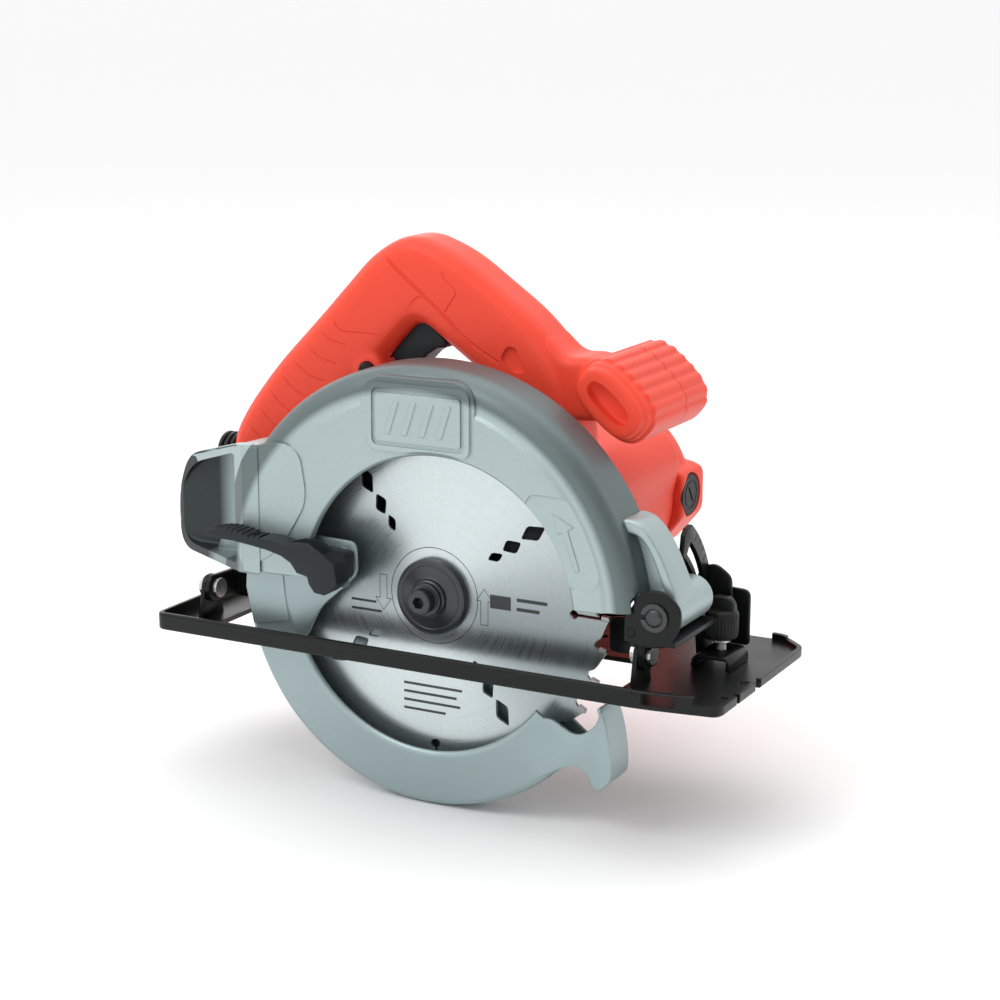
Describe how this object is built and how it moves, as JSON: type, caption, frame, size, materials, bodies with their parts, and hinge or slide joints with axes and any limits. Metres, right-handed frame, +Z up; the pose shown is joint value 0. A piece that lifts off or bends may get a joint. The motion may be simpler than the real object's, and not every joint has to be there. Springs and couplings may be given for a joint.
{
  "type": "circular saw",
  "caption": "Hand-held circular saw with a tilting shoe, fixed and swinging blade guards, dust chute, closed loop handle and side motor, used to rip and crosscut boards.",
  "frame": {"origin": "on the underside of the shoe, under the spindle's X position and 52 mm to the motor side of the blade plane", "axes": "+X forwards in the cutting direction, +Y from the blade towards the motor, +Z up from the sole"},
  "size_m": [0.3102, 0.2151, 0.2644],
  "materials": {
    "cast_aluminium": "cast, fine grain, semi-matt",
    "guard_aluminium": "smooth, semi-matt",
    "orange_plastic": "moulded, fine texture",
    "grey_plastic": "moulded, satin",
    "black_plastic": "moulded, satin",
    "black_paint": "gloss black coating on pressed steel",
    "blade_steel": "ground radially",
    "bright_steel": "turned, zinc plated",
    "dark_steel": "oil blackened",
    "copper": "windings and brass sleeves",
    "carbon": "pressed carbon"
  },
  "bodies": {
    "shoe": {"shoe": "black_paint", "front_pivot_pin": "bright_steel", "rear_pivot_pin": "bright_steel", "bevel_quadrant": "black_paint", "fence_bridge": "black_paint"},
    "fence_knob": {"fence_knob": "black_plastic", "fence_screw": "bright_steel"},
    "tilt_frame": {"front_bracket": "black_paint", "depth_hinge_pin": "dark_steel", "hinge_circlip": "dark_steel", "rear_bracket": "black_paint", "depth_guide": "black_paint", "bevel_lock_bolt": "bright_steel"},
    "bevel_lever": {"bevel_lock_lever": "black_plastic"},
    "saw_body": {"upper_guard": "cast_aluminium", "depth_stud": "bright_steel", "gear_housing": "cast_aluminium", "bearing_plate": "cast_aluminium", "spindle_bearing_front": "bright_steel", "spindle_bearing_rear": "bright_steel", "armature_bearing_front": "bright_steel", "armature_bearing_rear": "bright_steel", "motor_housing": "orange_plastic", "motor_end_cover": "orange_plastic", "stator": "dark_steel", "brush_holder_front": "copper", "brush_front": "carbon", "brush_spring_front": "bright_steel", "brush_cap_front": "grey_plastic", "brush_holder_rear": "copper", "brush_rear": "carbon", "brush_spring_rear": "bright_steel", "brush_cap_rear": "grey_plastic", "handle_shell_near": "orange_plastic", "handle_shell_far": "orange_plastic", "switch": "black_plastic", "cable_gland": "black_plastic", "auxiliary_handle": "orange_plastic", "guard_retaining_ring": "dark_steel", "guard_return_spring": "bright_steel", "end_cover_screw_1": "bright_steel", "end_cover_screw_2": "bright_steel"},
    "depth_lever": {"depth_lock_lever": "black_plastic"},
    "spindle_lock": {"spindle_lock_button": "black_plastic"},
    "lock_off": {"lock_off_button": "grey_plastic"},
    "trigger": {"trigger": "grey_plastic"},
    "blade_assembly": {"blade": "blade_steel", "inner_flange": "dark_steel", "outer_flange": "dark_steel", "blade_bolt": "dark_steel", "spindle": "bright_steel", "drive_gear": "dark_steel"},
    "armature": {"armature_shaft": "bright_steel", "armature_core": "copper", "commutator": "copper", "fan": "black_plastic", "pinion": "dark_steel"},
    "lower_guard": {"lower_guard": "guard_aluminium", "guard_lever": "grey_plastic"}
  },
  "joints": [
    {"name": "bevel_tilt", "type": "hinge", "parent": "shoe", "child": "tilt_frame", "pos_m": [0, -0.052, 0.0174], "axis": [1, 0, 0], "range_deg": [0, 45]},
    {"name": "depth_swing", "type": "hinge", "parent": "tilt_frame", "child": "saw_body", "pos_m": [0.119, -0.052, 0.0385], "axis": [0, 1, 0], "range_deg": [0, 30]},
    {"name": "blade_spin", "type": "hinge", "parent": "saw_body", "child": "blade_assembly", "pos_m": [0, -0.052, 0.03], "axis": [0, -1, 0], "continuous": true},
    {"name": "armature_spin", "type": "hinge", "parent": "saw_body", "child": "armature", "pos_m": [0.01344, 0.008, 0.05327], "axis": [0, -1, 0], "continuous": true},
    {"name": "lower_guard_swing", "type": "hinge", "parent": "saw_body", "child": "lower_guard", "pos_m": [0, -0.052, 0.03], "axis": [0, 1, 0], "range_deg": [0, 130], "stiffness_Nm_per_rad": 0.25, "springref_deg": -91.67},
    {"name": "trigger_pull", "type": "slide", "parent": "saw_body", "child": "trigger", "axis": [-0.735, 0, 0.678], "range_m": [0, 0.005], "stiffness_N_per_m": 800, "springref_m": -0.005},
    {"name": "lock_off_press", "type": "slide", "parent": "saw_body", "child": "lock_off", "axis": [0, 1, 0], "range_m": [0, 0.002], "stiffness_N_per_m": 600, "springref_m": -0.003},
    {"name": "spindle_lock_press", "type": "slide", "parent": "saw_body", "child": "spindle_lock", "axis": [1, 0, 0], "range_m": [0, 0.003], "stiffness_N_per_m": 900, "springref_m": -0.003},
    {"name": "depth_lever_turn", "type": "hinge", "parent": "saw_body", "child": "depth_lever", "pos_m": [-0.068, -0.025, 0.028], "axis": [0, 1, 0], "range_deg": [0, 40]},
    {"name": "bevel_lever_turn", "type": "hinge", "parent": "tilt_frame", "child": "bevel_lever", "pos_m": [0.105, 0.0013, 0.02206], "axis": [1, 0, 0], "range_deg": [0, 60]},
    {"name": "fence_knob_turn", "type": "hinge", "parent": "shoe", "child": "fence_knob", "pos_m": [0.127, -0.0045, 0.03], "axis": [0, 0, 1], "range_deg": [0, 180]}
  ],
  "couplings": [
    {"joint": "armature_spin", "follows": "blade_spin", "ratio": -3.7778}
  ]
}
